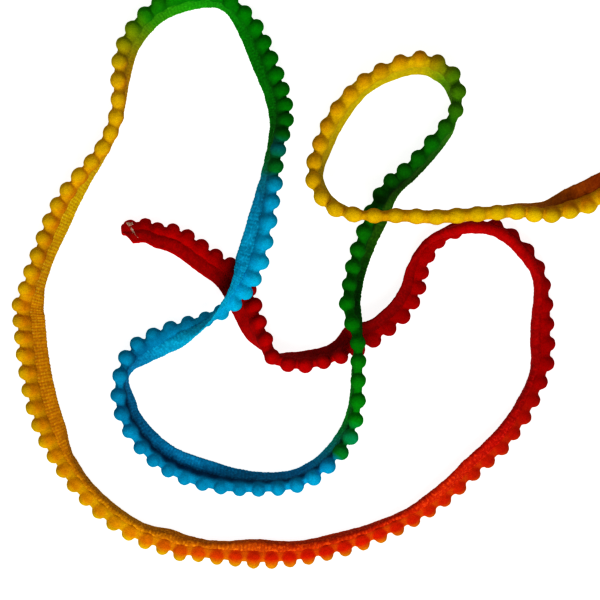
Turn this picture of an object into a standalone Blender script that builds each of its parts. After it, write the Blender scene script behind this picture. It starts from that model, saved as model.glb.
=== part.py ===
"""A loose length of mini pompom trim, lying in curves that cross one another.

Two pieces run side by side along one route: a ribbed woven tape, and a velvety edge
with 195 pompoms. Units are millimetres in the tables and metres in Blender, +Z up.
The route starts at the cut end and is measured in pompoms: row 12 is pompom 12.
"""
import math

import bmesh
import bpy
from mathutils import Vector

MM = 0.001
NAME = "pompom_trim"

# ---- Driving dimensions of the trim's cross-section, in millimetres ----
BALL_RADIUS = 2.55           # a pompom is 5.1 mm across
VELVET_END = 3.3             # its inner side, from the pompoms' centre line
TAPE_START = 3.7             # the tape's side next to the velvet
TAPE_END = 8.6               # the tape's free side
TAPE_THICKNESS = 1.0
TAPE_COLUMNS = 5             # points across the tape, on each face

# ---- Driving dimensions along the route ----
FIRST_SECTION = -0.5         # pompoms are numbered 0 to 194
LAST_SECTION = 194.5
TAPE_STEPS = 2               # tape sections for each pompom
CUT_SLANT = 0.13             # the cut end slopes back this many pompoms per millimetre
CUT_FADE = 3.0               # and is square again this many pompoms on
CUT_BULGE = 0.09             # the velvet bulges out at the cut end by this many pompoms
CUT_ROUNDING = 0.6           # where its section has shrunk to this share
SOFTENING = (-0.6, -0.3, 0.0, 0.3, 0.6)   # places averaged when the lean is read
LOOK_AHEAD = (0.8, 1.6, 2.4)  # the travel's direction is read this many pompoms each way
DIP = 0.25                   # what touches the surface is flattened by this much

# The middle of the outline as it lies, which becomes the origin
MIDDLE_X = 4.3
MIDDLE_Y = 7.7

# Where the pompoms' centre line runs, seen from above
# pompom, x_mm, y_mm
ROUTE = (
    (0, -56.6, 24.0),
    (1, -51.5, 24.7),
    (2, -47.5, 23.5),
    (3, -42.4, 23.1),
    (6, -28.2, 14.5),
    (7, -23.3, 11.7),
    (12, -11.5, -13.1),
    (13, -9.3, -19.0),
    (14, -4.0, -21.3),
    (17, 13.6, -18.8),
    (23, 39.7, 4.2),
    (24, 40.5, 9.3),
    (26, 46.0, 19.7),
    (29, 65.0, 24.3),
    (32, 79.2, 10.8),
    (35, 82.2, -8.0),
    (37, 82.2, -21.1),
    (38, 80.1, -27.3),
    (42, 67.2, -49.3),
    (44, 57.7, -57.8),
    (45, 53.0, -62.5),
    (49, 32.4, -76.1),
    (56, -9.5, -87.0),
    (59, -27.7, -85.7),
    (60, -33.9, -85.0),
    (61, -40.0, -84.5),
    (62, -45.7, -82.5),
    (63, -51.5, -80.4),
    (70, -82.1, -52.0),
    (78, -93.3, -6.9),
    (79, -93.5, -1.6),
    (80, -91.5, 3.8),
    (85, -80.8, 31.7),
    (90, -63.1, 55.7),
    (91, -61.3, 61.0),
    (95, -58.8, 85.2),
    (98, -47.0, 99.0),
    (101, -28.3, 102.2),
    (104, -14.6, 91.0),
    (106, -9.8, 80.5),
    (110, -4.6, 60.0),
    (112, -7.2, 50.0),
    (115, -9.0, 32.8),
    (119, -15.2, 7.0),
    (121, -21.7, -1.3),
    (126, -48.8, -11.8),
    (127, -54.2, -14.7),
    (131, -59.6, -37.8),
    (133, -53.0, -49.0),
    (140, -13.8, -63.1),
    (142, -1.0, -61.8),
    (146, 16.9, -45.7),
    (150, 19.4, -20.3),
    (151, 19.2, -14.3),
    (153, 15.6, -1.1),
    (154, 16.3, 5.1),
    (156, 19.2, 16.7),
    (160, 30.3, 39.7),
    (161, 34.8, 43.0),
    (163, 43.8, 52.5),
    (165, 51.9, 63.2),
    (167, 50.9, 75.2),
    (168, 45.8, 79.2),
    (172, 21.5, 73.0),
    (176, 6.6, 52.2),
    (178, 4.4, 39.8),
    (179, 7.3, 34.0),
    (184, 38.7, 27.8),
    (189, 72.0, 29.0),
    (191, 83.7, 28.3),
    (193, 96.2, 31.3),
    (194, 101.7, 34.0),
)

# How the trim leans. 0 points to the right of travel and level, -90 straight down,
# 90 straight up; angles run on past 360 where the trim turns right over. From the
# pompoms' centre line it runs at root_deg as far as fold_mm, and beyond at edge_deg.
# Where the two differ it is ridged or dished along the fold, which is rounded over
# rounding_mm to each side.
# pompom, root_deg, fold_mm, edge_deg, rounding_mm
LEAN = (
    (0, 426, 5.5, 380, 1.2),
    (1, 420, 5.5, 380, 1.2),
    (2, 420, 5.5, 380, 1.2),
    (3, 398, 5.5, 375, 1.2),
    (6, 397, 5.5, 375, 1.2),
    (7, 382, 5.5, 365, 1.2),
    (8, 363, 5.5, 363, 1.2),
    (9, 348, 6.0, 348, 1.2),
    (10, 336, 6.0, 336, 1.2),
    (11, 323, 6.0, 323, 1.2),
    (12, 306, 6.0, 306, 1.2),
    (13, 252, 6.0, 252, 1.2),
    (14, 245, 5.0, 236, 1.2),
    (15, 246, 4.4, 220, 1.2),
    (16, 253, 4.2, 220, 1.2),
    (17, 253, 4.2, 214, 1.2),
    (17.9, 196, 5.0, 196, 1.2),
    (18.9, 138, 6.0, 136, 1.2),
    (20, 134, 7.0, 134, 1.2),
    (21, 133, 9.8, 133, 1.4),
    (22, 133, 9.8, -30, 1.6),
    (23, 134, 9.6, -30, 1.6),
    (24, 131, 8.6, -30, 1.6),
    (25, 128, 7.5, -35, 1.6),
    (26, 122, 6.5, -45, 1.6),
    (27, 112, 5.6, -55, 1.8),
    (28, 104, 5.4, -70, 2.0),
    (29, 94, 5.4, -78, 2.3),
    (30, 91, 5.4, -84, 2.3),
    (32, 92, 5.4, -88, 2.1),
    (33, 88, 5.2, -86, 2.0),
    (34, 66, 5.0, -82, 1.6),
    (35, 50, 5.6, -78, 1.2),
    (36, 42, 6.2, -74, 1.2),
    (37, 46, 5.2, -80, 1.2),
    (38, 55, 4.3, -86, 1.2),
    (39, 50, 4.3, -82, 1.2),
    (40, 56, 5.4, -82, 1.2),
    (41, 56, 6.4, -78, 1.2),
    (42, 55, 7.0, -74, 1.2),
    (43, 56, 7.4, -72, 1.2),
    (44, 60, 7.4, -72, 1.2),
    (45, 58, 7.4, -72, 1.2),
    (46, 59, 7.0, -76, 1.2),
    (47, 56, 5.6, -82, 1.2),
    (48, 55, 4.6, -86, 1.2),
    (49, 44, 4.3, -84, 1.2),
    (51, 42, 4.3, -73, 1.2),
    (52, 41, 4.3, -61, 1.2),
    (54, 38, 4.7, -69, 1.2),
    (55, 34, 5.4, -75, 1.2),
    (56, 25, 5.6, -65, 1.2),
    (57, 21, 6.0, -54, 1.2),
    (58, 34, 5.5, -79, 1.2),
    (59, 42, 4.7, -76, 1.2),
    (60, 40, 4.4, -79, 1.2),
    (61, 32, 4.7, -52, 1.2),
    (62, 36, 4.6, -49, 1.2),
    (63, 44, 4.3, -72, 1.2),
    (65, 47, 4.3, -71, 1.2),
    (67, 48, 4.3, -74, 1.2),
    (68, 47, 4.3, -76, 1.2),
    (69, 41, 4.4, -66, 1.2),
    (70, 29, 5.6, -89, 1.2),
    (71, 10, 6.2, -42, 1.2),
    (73, 0, 7.0, -22, 1.2),
    (74, -2, 7.0, -18, 1.2),
    (76, -10, 6.8, -28, 1.2),
    (79, -8, 6.6, -28, 1.2),
    (80, -39, 5.6, -60, 1.2),
    (81, -45, 5.4, -58, 1.2),
    (82, -45, 5.4, -56, 1.2),
    (84, -35, 5.8, -44, 1.2),
    (85, -39, 6.0, -44, 1.2),
    (86, -47, 6.0, -48, 1.2),
    (87, -60, 6.0, -60, 1.2),
    (88, -70, 6.0, -70, 1.2),
    (90, -80, 6.0, -80, 1.2),
    (92, -76, 6.0, -76, 1.2),
    (93, -66, 6.0, -66, 1.2),
    (94, -54, 6.0, -54, 1.2),
    (96, -51, 6.0, -51, 1.2),
    (98, -46, 6.0, -46, 1.2),
    (100, -50, 6.0, -50, 1.2),
    (102, -64, 6.0, -64, 1.2),
    (103, -55, 6.0, -55, 1.2),
    (104, -42, 6.0, -42, 1.2),
    (105, -38, 6.0, -38, 1.2),
    (107, -43, 6.0, -43, 1.2),
    (109, -45, 6.0, -45, 1.2),
    (110, -49, 6.0, -49, 1.2),
    (111, -60, 6.0, -60, 1.2),
    (112, -66, 6.0, -66, 1.2),
    (113, -62, 6.0, -62, 1.2),
    (114, -52, 6.0, -52, 1.2),
    (115, -43, 6.0, -43, 1.2),
    (116, -34, 6.0, -34, 1.2),
    (117, -22, 6.0, -18, 1.2),
    (118, -8, 6.0, 6, 1.2),
    (119, 8, 5.6, 70, 1.2),
    (120, 24, 5.0, 69, 1.2),
    (121, 44, 4.6, 90, 1.2),
    (122, 72, 6.0, 84, 1.2),
    (123, 106, 6.0, 110, 1.2),
    (124, 119, 6.0, 137, 1.2),
    (125, 140, 5.2, 216, 1.2),
    (126, 164, 5.0, 230, 1.2),
    (127, 186, 5.0, 229, 1.2),
    (128, 220, 5.5, 236, 1.2),
    (129, 264, 6.0, 264, 1.2),
    (130, 228, 6.0, 228, 1.2),
    (131, 230, 6.0, 230, 1.2),
    (132, 224, 6.0, 224, 1.2),
    (133, 217, 5.6, 214, 1.2),
    (134, 220, 5.4, 185, 1.2),
    (135, 214, 5.2, 162, 1.2),
    (136, 202, 5.0, 170, 1.2),
    (137, 205, 5.2, 176, 1.2),
    (138, 214, 5.6, 212, 1.2),
    (139, 222, 6.0, 223, 1.2),
    (140, 230, 6.0, 230, 1.2),
    (143, 233, 6.0, 233, 1.2),
    (146, 238, 6.0, 238, 1.2),
    (147, 244, 6.0, 244, 1.2),
    (148, 252, 6.0, 252, 1.2),
    (150, 258, 6.0, 258, 1.2),
    (151, 274, 6.0, 274, 1.2),
    (152, 292, 6.0, 300, 1.2),
    (153, 290, 6.2, 345, 1.2),
    (154, 289, 6.2, 353, 1.2),
    (155, 290, 6.2, 350, 1.2),
    (156, 295, 6.2, 350, 1.2),
    (157, 298, 6.0, 340, 1.2),
    (158, 320, 6.0, 320, 1.2),
    (159, 308, 6.0, 308, 1.2),
    (160, 305, 6.0, 305, 1.2),
    (161, 299, 6.0, 299, 1.2),
    (163, 298, 6.0, 298, 1.2),
    (164, 294, 6.0, 294, 1.2),
    (165, 266, 6.0, 266, 1.2),
    (166, 242, 6.0, 242, 1.2),
    (167, 232, 6.0, 232, 1.2),
    (168, 229, 6.0, 229, 1.2),
    (170, 236, 6.0, 236, 1.2),
    (172, 243, 6.0, 243, 1.2),
    (174, 237, 6.0, 237, 1.2),
    (176, 238, 6.0, 238, 1.2),
    (178, 248, 6.0, 248, 1.2),
    (180, 252, 6.0, 252, 1.2),
    (182, 268, 6.0, 268, 1.2),
    (187, 268, 6.0, 268, 1.2),
    (188, 257, 6.0, 257, 1.2),
    (189, 250, 6.0, 250, 1.2),
    (190, 246, 6.0, 246, 1.2),
    (191, 233, 6.0, 233, 1.2),
    (192, 204, 6.0, 204, 1.2),
    (193, 186, 6.0, 186, 1.2),
    (194, 184, 6.0, 184, 1.2),
)

# How high the trim is lifted where it passes over itself
# pompom, lift_mm
LIFT = (
    (109, 0.0),
    (119.2, 6.6),
    (120.4, 6.6),
    (125, 0.0),
    (146, 0.0),
    (150.8, 9.7),
    (156.5, 0.0),
    (176, 0.0),
    (182.3, 9.3),
    (187, 9.8),
    (193, 0.0),
)

# The pompom edge's sections, as points (across, up) from the pompoms' centre line:
# the widest one through a pompom, and one a quarter of the way on. Midway between two
# pompoms comes the web section, which follows the table NOTCH.
INNER_SIDE = ((VELVET_END, 0.8), (VELVET_END, -0.8))
WEB_CREST = 1.3              # across, where the web section stands highest
BALL_SECTION = (
    (-BALL_RADIUS, -1.0), (-BALL_RADIUS, 1.0), (0.2, BALL_RADIUS),
    *INNER_SIDE, (0.2, -BALL_RADIUS),
)
SHOULDER_SECTION = ((-1.9, -0.9), (-1.9, 0.9), (0.5, 2.15), *INNER_SIDE, (0.5, -2.15))
EDGE_SECTIONS = (BALL_SECTION, SHOULDER_SECTION, None, SHOULDER_SECTION)

# The roll midway between two pompoms: how far in or out its outer side runs, and how
# far it stands up and down
# pompom, across_mm from the pompoms' centre line, half_height_mm
NOTCH = (
    (0.5, -2.1, 2.1),
    (1.5, -1.3, 1.9),
    (2.5, -0.9, 1.9),
    (3.5, -0.1, 1.8),
    (5, -0.45, 1.8),
    (11, -0.45, 1.8),
    (12, -0.9, 2.5),
    (13, -0.9, 2.5),
    (14.5, -0.45, 1.8),
    (16, -0.45, 1.7),
    (17.5, 0.3, 1.2),
    (21, -0.2, 1.2),
    (23, -0.2, 1.3),
    (25.3, -0.9, 2.6),
    (26.7, -0.9, 2.6),
    (28, -0.3, 1.6),
    (29.5, 0.3, 1.0),
    (31, 0.2, 1.1),
    (32, 0.0, 1.3),
    (33.5, -0.4, 1.7),
    (34.5, -1.2, 2.2),
    (35.5, -0.45, 1.8),
    (42, -0.3, 1.6),
    (43.5, 0.25, 1.3),
    (46, 0.1, 1.4),
    (48.5, 0.0, 1.5),
    (50.5, 0.25, 1.3),
    (53.5, 0.45, 1.3),
    (55, 0.1, 1.4),
    (57, -0.3, 1.6),
    (59.5, -0.4, 1.6),
    (61.5, 0.45, 1.3),
    (63, -0.1, 1.6),
    (66, -0.4, 1.7),
    (74, -0.6, 1.9),
    (76, -0.8, 1.9),
    (84, -0.8, 1.9),
    (88, -0.6, 2.0),
    (89.5, -1.5, 2.4),
    (91.5, -1.6, 2.4),
    (93, -0.8, 2.0),
    (96, -0.9, 2.0),
    (98, -0.45, 1.9),
    (109, -0.5, 1.9),
    (110.5, -1.1, 2.2),
    (111.5, -1.1, 2.2),
    (113, -0.5, 1.8),
    (126, -0.45, 1.8),
    (128.5, 0.3, 1.4),
    (130, -0.45, 1.8),
    (135, -0.5, 1.9),
    (136, -0.9, 2.5),
    (138, -0.9, 2.5),
    (140, -0.45, 1.8),
    (142, -0.2, 1.6),
    (143.5, 0.5, 1.0),
    (146.5, 0.5, 1.0),
    (148, -0.3, 1.6),
    (152, -0.6, 2.0),
    (157, -0.7, 2.0),
    (162, -0.7, 2.0),
    (168, -0.5, 1.9),
    (171, -0.5, 2.0),
    (172.5, -0.9, 2.8),
    (174.5, -0.9, 2.8),
    (176, -0.5, 2.0),
    (182, -0.5, 1.9),
    (184, -0.9, 2.6),
    (188, -0.8, 2.5),
    (190, -0.5, 2.0),
    (192.5, -1.1, 1.9),
    (194, -1.1, 1.9),
)


def tape_section():
    """The tape's section: along its upper face, then back along its lower face."""
    step = (TAPE_END - TAPE_START) / (TAPE_COLUMNS - 1)
    across = [TAPE_START + step * column for column in range(TAPE_COLUMNS)]
    upper = [(distance, TAPE_THICKNESS / 2) for distance in across]
    lower = [(distance, -TAPE_THICKNESS / 2) for distance in reversed(across)]
    return tuple(upper + lower)


TAPE_SECTION = tape_section()


def slope_at(table, row, column):
    """The table's slope at one row, weighted between its two neighbours."""
    first = max(row - 1, 0)
    last = min(row + 1, len(table) - 1)
    if first == row or last == row:
        return (table[last][column] - table[first][column]) / (table[last][0] - table[first][0])
    before = table[row][0] - table[first][0]
    after = table[last][0] - table[row][0]
    slope_before = (table[row][column] - table[first][column]) / before
    slope_after = (table[last][column] - table[row][column]) / after
    return (slope_before * after + slope_after * before) / (before + after)


def smooth(table, pompom):
    """Every column of a table at a place between its rows, on a smooth cubic."""
    row = 0
    while row < len(table) - 2 and pompom > table[row + 1][0]:
        row += 1
    span = table[row + 1][0] - table[row][0]
    part = (pompom - table[row][0]) / span
    values = []
    for column in range(1, len(table[row])):
        start = table[row][column]
        end = table[row + 1][column]
        if part < 0.0:
            values.append(start + slope_at(table, row, column) * span * part)
            continue
        if part > 1.0:
            values.append(end + slope_at(table, row + 1, column) * span * (part - 1.0))
            continue
        start_slope = slope_at(table, row, column) * span
        end_slope = slope_at(table, row + 1, column) * span
        values.append(
            start * (2 * part ** 3 - 3 * part ** 2 + 1)
            + start_slope * (part ** 3 - 2 * part ** 2 + part)
            + end * (3 * part ** 2 - 2 * part ** 3)
            + end_slope * (part ** 3 - part ** 2)
        )
    return values


def steady(table, pompom):
    """Every column of a table between its rows, in straight lines with softened corners."""
    totals = [0.0] * (len(table[0]) - 1)
    for shift in SOFTENING:
        place = min(max(pompom + shift, table[0][0]), table[-1][0])
        row = 0
        while row < len(table) - 2 and place > table[row + 1][0]:
            row += 1
        part = (place - table[row][0]) / (table[row + 1][0] - table[row][0])
        for column in range(len(totals)):
            start = table[row][column + 1]
            end = table[row + 1][column + 1]
            totals[column] += (start + (end - start) * part) / len(SOFTENING)
    return totals


def eased(table, pompom):
    """A table's value between two rows, level at each row, so humps stay rounded."""
    if pompom <= table[0][0]:
        return table[0][1]
    for (start, start_value), (end, end_value) in zip(table, table[1:]):
        if pompom <= end:
            part = (pompom - start) / (end - start)
            return start_value + (end_value - start_value) * (3 - 2 * part) * part ** 2
    return table[-1][1]


def across_the_trim(lean, distance):
    """Reach, height and direction at a distance from the pompoms' centre line.

    The section runs straight, turns evenly around the fold, and runs straight again.
    """
    root_deg, fold, edge_deg, rounding = lean
    root = math.radians(root_deg)
    turn = math.radians(edge_deg - root_deg) / (2 * rounding)
    before = min(distance, fold - rounding)
    bent = min(max(distance - before, 0.0), 2 * rounding)
    beyond = max(distance - fold - rounding, 0.0)
    angle = root + turn * bent
    reach = before * math.cos(root) + beyond * math.cos(angle)
    height = before * math.sin(root) + beyond * math.sin(angle)
    if abs(turn) < 0.0001:
        return reach + bent * math.cos(root), height + bent * math.sin(root), angle
    reach += (math.sin(angle) - math.sin(root)) / turn
    height += (math.cos(root) - math.cos(angle)) / turn
    return reach, height, angle


def lean_point(lean, distance, up):
    """A section point's reach and height, once the section leans."""
    reach, height, angle = across_the_trim(lean, distance)
    return reach - up * math.sin(angle), height + up * math.cos(angle)


def travel_at(pompom):
    """The way the trim runs, seen from above, evened out over a few pompoms."""
    travel = Vector((0.0, 0.0))
    for reach in LOOK_AHEAD:
        ahead = Vector(smooth(ROUTE, pompom + reach))
        behind = Vector(smooth(ROUTE, pompom - reach))
        travel += (ahead - behind) / reach
    return travel.normalized()


def place_point(pompom, distance, up):
    """A section point in space, with its section resting on the surface."""
    x, y = smooth(ROUTE, pompom)
    travel = travel_at(pompom)
    lean = steady(LEAN, pompom)
    lowest = min(lean_point(lean, *point)[1] for point in BALL_SECTION + TAPE_SECTION)
    reach, height = lean_point(lean, distance, up)
    return Vector((
        x + reach * travel.y - MIDDLE_X,
        y - reach * travel.x - MIDDLE_Y,
        max(height - lowest - DIP + eased(LIFT, pompom), 0.0),
    )) * MM


def cut_back(pompom, distance):
    """Where on the route a point of the tape lies, once the tape's end is cut slanting."""
    slant = CUT_SLANT * (distance - TAPE_START)
    return pompom + slant * max(1 - (pompom - FIRST_SECTION) / CUT_FADE, 0.0)


def loft(name, rings, colour, roughness):
    """A closed solid through rings of points, capped at both ends."""
    sheet = bmesh.new()
    vertex_rings = [[sheet.verts.new(point) for point in ring] for ring in rings]
    sides = len(rings[0])
    for ring, following in zip(vertex_rings, vertex_rings[1:]):
        for side in range(sides):
            beside = (side + 1) % sides
            sheet.faces.new((ring[side], ring[beside], following[beside], following[side]))
    sheet.faces.new(tuple(reversed(vertex_rings[0])))
    sheet.faces.new(vertex_rings[-1])
    bmesh.ops.triangulate(sheet, faces=sheet.faces, quad_method="SHORT_EDGE")
    bmesh.ops.recalc_face_normals(sheet, faces=sheet.faces)
    mesh = bpy.data.meshes.new(name)
    sheet.to_mesh(mesh)
    sheet.free()
    mesh.materials.append(plain_material(name, colour, roughness))
    solid = bpy.data.objects.new(name, mesh)
    return solid


def plain_material(name, colour, roughness):
    material = bpy.data.materials.new(name)
    material.use_nodes = True
    surface = material.node_tree.nodes["Principled BSDF"]
    surface.inputs["Base Color"].default_value = (*colour, 1.0)
    surface.inputs["Roughness"].default_value = roughness
    surface.inputs["Metallic"].default_value = 0.0
    return material


def tape():
    """The ribbed tape, one sheet along the whole route, with a slanting cut end."""
    count = round((LAST_SECTION - FIRST_SECTION) * TAPE_STEPS)
    rings = []
    for step in range(count + 1):
        pompom = FIRST_SECTION + step / TAPE_STEPS
        rings.append([
            place_point(cut_back(pompom, distance), distance, up)
            for distance, up in TAPE_SECTION
        ])
    return loft("tape", rings, (0.62, 0.20, 0.01), 0.85)


def web_section(pompom):
    """The velvet roll's section midway between two pompoms."""
    outer, half_height = steady(NOTCH, pompom)
    return (
        (outer, -half_height / 2), (outer, half_height / 2), (WEB_CREST, half_height),
        *INNER_SIDE, (WEB_CREST, -half_height),
    )


def rounded_end():
    """The shrunken section that rounds off the velvet edge at the cut end."""
    section = web_section(FIRST_SECTION)
    middle = sum(distance for distance, up in section) / len(section)
    return [
        place_point(
            FIRST_SECTION - CUT_BULGE,
            middle + (distance - middle) * CUT_ROUNDING,
            up * CUT_ROUNDING,
        )
        for distance, up in section
    ]


def pompom_edge():
    """The velvet edge: its pompoms stand apart, but for the roll they grow from."""
    steps = len(EDGE_SECTIONS)
    first = round(FIRST_SECTION * steps)
    last = round(LAST_SECTION * steps)
    rings = [rounded_end()]
    for step in range(first, last + 1):
        section = EDGE_SECTIONS[step % steps] or web_section(step / steps)
        rings.append([place_point(step / steps, *point) for point in section])
    return loft("pompom_edge", rings, (0.70, 0.28, 0.01), 0.95)


def main():
    for leftover in list(bpy.data.objects):
        bpy.data.objects.remove(leftover)
    collection = bpy.data.collections.new(NAME)
    bpy.context.scene.collection.children.link(collection)
    for solid in (tape(), pompom_edge()):
        collection.objects.link(solid)


main()
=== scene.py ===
"""The looks of a loose length of mini pompom trim, seen from straight above.

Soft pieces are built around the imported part: a ribbed woven tape, the velvet edge with
its pompoms, and the threads that show at the cut end. Units are millimetres in the
tables and metres in Blender. Places along the trim are measured in pompoms, as in the
part's own tables, which are repeated here.
"""
import functools
import math
import random

import bpy
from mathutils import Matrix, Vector, noise


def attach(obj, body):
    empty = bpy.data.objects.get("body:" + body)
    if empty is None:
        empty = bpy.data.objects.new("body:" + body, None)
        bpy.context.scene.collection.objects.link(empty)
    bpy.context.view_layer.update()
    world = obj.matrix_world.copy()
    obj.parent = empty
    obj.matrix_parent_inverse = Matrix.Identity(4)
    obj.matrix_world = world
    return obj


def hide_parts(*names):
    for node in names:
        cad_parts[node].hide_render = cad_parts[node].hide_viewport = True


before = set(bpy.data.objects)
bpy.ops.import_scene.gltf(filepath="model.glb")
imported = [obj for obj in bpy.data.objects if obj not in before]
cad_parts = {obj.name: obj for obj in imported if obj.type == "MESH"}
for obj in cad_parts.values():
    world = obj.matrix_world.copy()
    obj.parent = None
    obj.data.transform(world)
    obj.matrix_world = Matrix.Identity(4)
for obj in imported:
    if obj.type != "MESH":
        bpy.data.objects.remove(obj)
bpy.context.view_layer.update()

MM = 0.001

# ---- The trim's cross-section, in millimetres, as in the part ----
BALL_RADIUS = 2.55
VELVET_END = 3.3
TAPE_START = 3.7
TAPE_END = 8.6
TAPE_THICKNESS = 1.0
TAPE_COLUMNS = 5
EDGE_OUTLINE = (             # the pompoms' and the velvet's outer points, across and up
    (-BALL_RADIUS, -1.0), (-BALL_RADIUS, 1.0), (0.2, BALL_RADIUS), (0.2, -BALL_RADIUS),
    (VELVET_END, 0.8), (VELVET_END, -0.8),
)
FIRST_SECTION = -0.5         # pompoms
LAST_SECTION = 194.5
CUT_SLANT = 0.13             # pompoms for each millimetre across the tape
CUT_FADE = 3.0               # pompoms until the slant has gone
SOFTENING = (-0.6, -0.3, 0.0, 0.3, 0.6)
LOOK_AHEAD = (0.8, 1.6, 2.4)
LEAST_TURN = 0.0001          # below this a section counts as straight
DIP = 0.25                   # the lowest points would sink in this far, and are flattened
MIDDLE_X = 4.3
MIDDLE_Y = 7.7

# ---- Finer form ----
POMPOMS = 195
POMPOM_PITCH = 6.05          # millimetres along the route
RIBS = 960                   # ribs across the tape, 1.23 mm apart
RIB_RINGS = 4                # mesh rings for each rib

# Where the pompoms' centre line runs, seen from above
# pompom, x_mm, y_mm
ROUTE = (
    (0, -56.6, 24.0),
    (1, -51.5, 24.7),
    (2, -47.5, 23.5),
    (3, -42.4, 23.1),
    (6, -28.2, 14.5),
    (7, -23.3, 11.7),
    (12, -11.5, -13.1),
    (13, -9.3, -19.0),
    (14, -4.0, -21.3),
    (17, 13.6, -18.8),
    (23, 39.7, 4.2),
    (24, 40.5, 9.3),
    (26, 46.0, 19.7),
    (29, 65.0, 24.3),
    (32, 79.2, 10.8),
    (35, 82.2, -8.0),
    (37, 82.2, -21.1),
    (38, 80.1, -27.3),
    (42, 67.2, -49.3),
    (44, 57.7, -57.8),
    (45, 53.0, -62.5),
    (49, 32.4, -76.1),
    (56, -9.5, -87.0),
    (59, -27.7, -85.7),
    (60, -33.9, -85.0),
    (61, -40.0, -84.5),
    (62, -45.7, -82.5),
    (63, -51.5, -80.4),
    (70, -82.1, -52.0),
    (78, -93.3, -6.9),
    (79, -93.5, -1.6),
    (80, -91.5, 3.8),
    (85, -80.8, 31.7),
    (90, -63.1, 55.7),
    (91, -61.3, 61.0),
    (95, -58.8, 85.2),
    (98, -47.0, 99.0),
    (101, -28.3, 102.2),
    (104, -14.6, 91.0),
    (106, -9.8, 80.5),
    (110, -4.6, 60.0),
    (112, -7.2, 50.0),
    (115, -9.0, 32.8),
    (119, -15.2, 7.0),
    (121, -21.7, -1.3),
    (126, -48.8, -11.8),
    (127, -54.2, -14.7),
    (131, -59.6, -37.8),
    (133, -53.0, -49.0),
    (140, -13.8, -63.1),
    (142, -1.0, -61.8),
    (146, 16.9, -45.7),
    (150, 19.4, -20.3),
    (151, 19.2, -14.3),
    (153, 15.6, -1.1),
    (154, 16.3, 5.1),
    (156, 19.2, 16.7),
    (160, 30.3, 39.7),
    (161, 34.8, 43.0),
    (163, 43.8, 52.5),
    (165, 51.9, 63.2),
    (167, 50.9, 75.2),
    (168, 45.8, 79.2),
    (172, 21.5, 73.0),
    (176, 6.6, 52.2),
    (178, 4.4, 39.8),
    (179, 7.3, 34.0),
    (184, 38.7, 27.8),
    (189, 72.0, 29.0),
    (191, 83.7, 28.3),
    (193, 96.2, 31.3),
    (194, 101.7, 34.0),
)

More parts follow.
